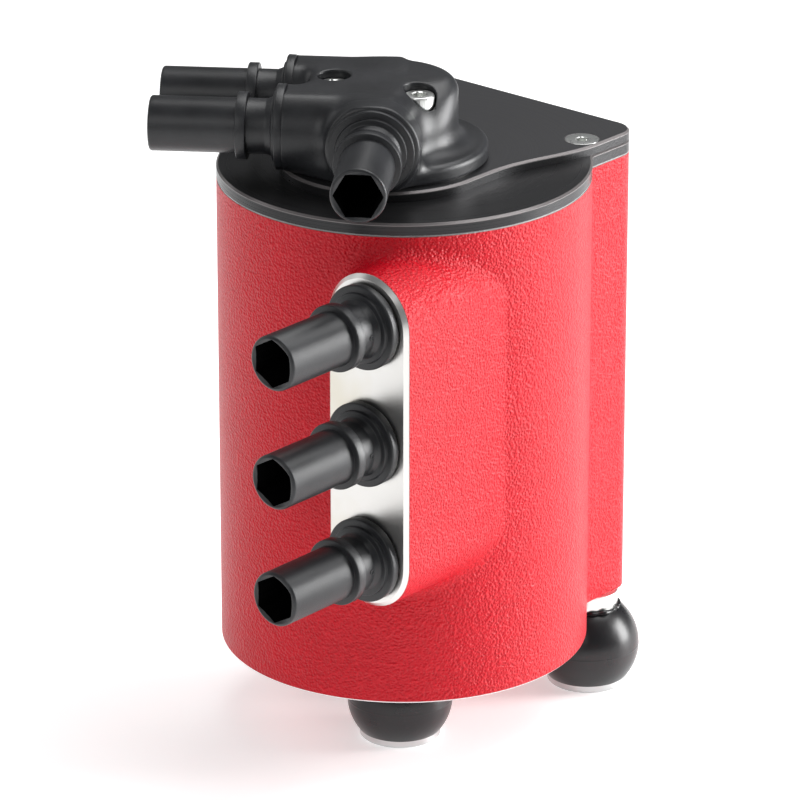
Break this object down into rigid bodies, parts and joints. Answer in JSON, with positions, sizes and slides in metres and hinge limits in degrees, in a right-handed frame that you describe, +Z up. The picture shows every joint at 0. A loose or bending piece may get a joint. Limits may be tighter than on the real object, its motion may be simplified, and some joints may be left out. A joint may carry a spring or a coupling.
{
  "type": "fluid separator canister with valve head",
  "caption": "Round red canister on rubber feet with a side row of hose spigots and a black lid carrying a moulded valve head.",
  "frame": {"origin": "on the floor under the middle of the whole object's box", "axes": "+Z up along the can, -Y the way the side spigots point, the flat-backed block towards +Y"},
  "size_m": [0.1208, 0.1616, 0.1986],
  "materials": {
    "powder_red": "aluminium under a fine red wrinkle powder coat",
    "anodised_black": "black anodised, turned",
    "moulded_black": "glass-filled nylon, fine moulded grain",
    "zinc_steel": "zinc plated",
    "rubber_black": "smooth moulded rubber",
    "steel_plate": "plain turned steel",
    "brass": "turned",
    "spring_steel": "drawn wire",
    "bare_aluminium": "machined",
    "mesh_steel": "knitted wire"
  },
  "bodies": {
    "housing": {"can_body": "powder_red", "lid": "anodised_black", "lid_o_ring": "rubber_black", "lid_screws": "zinc_steel", "valve_head": "moulded_black", "head_gasket": "rubber_black", "head_screws": "zinc_steel", "side_port_o_rings": "rubber_black", "head_port_o_rings": "rubber_black", "valve_seat": "brass", "valve_guide": "moulded_black", "valve_spring": "spring_steel", "outlet_tube": "bare_aluminium", "mesh_element": "mesh_steel", "element_cap": "bare_aluminium", "element_clip": "spring_steel", "baffle_plate": "bare_aluminium", "side_spigot_upper": "moulded_black", "side_spigot_middle": "moulded_black", "side_spigot_lower": "moulded_black", "head_spigot_left_near": "moulded_black", "head_spigot_left_far": "moulded_black", "head_spigot_front": "moulded_black", "foot_front_rubber": "rubber_black", "foot_front_base": "steel_plate", "foot_front_stud": "steel_plate", "foot_middle_rubber": "rubber_black", "foot_middle_base": "steel_plate", "foot_middle_stud": "steel_plate", "foot_rear_rubber": "rubber_black", "foot_rear_base": "steel_plate", "foot_rear_stud": "steel_plate"},
    "poppet": {"valve_poppet": "brass"}
  },
  "joints": [
    {"name": "poppet_lift", "type": "slide", "parent": "housing", "child": "poppet", "axis": [0, 0, 1], "range_m": [0, 0.0025], "stiffness_N_per_m": 300, "deforming": ["valve_spring"]}
  ]
}
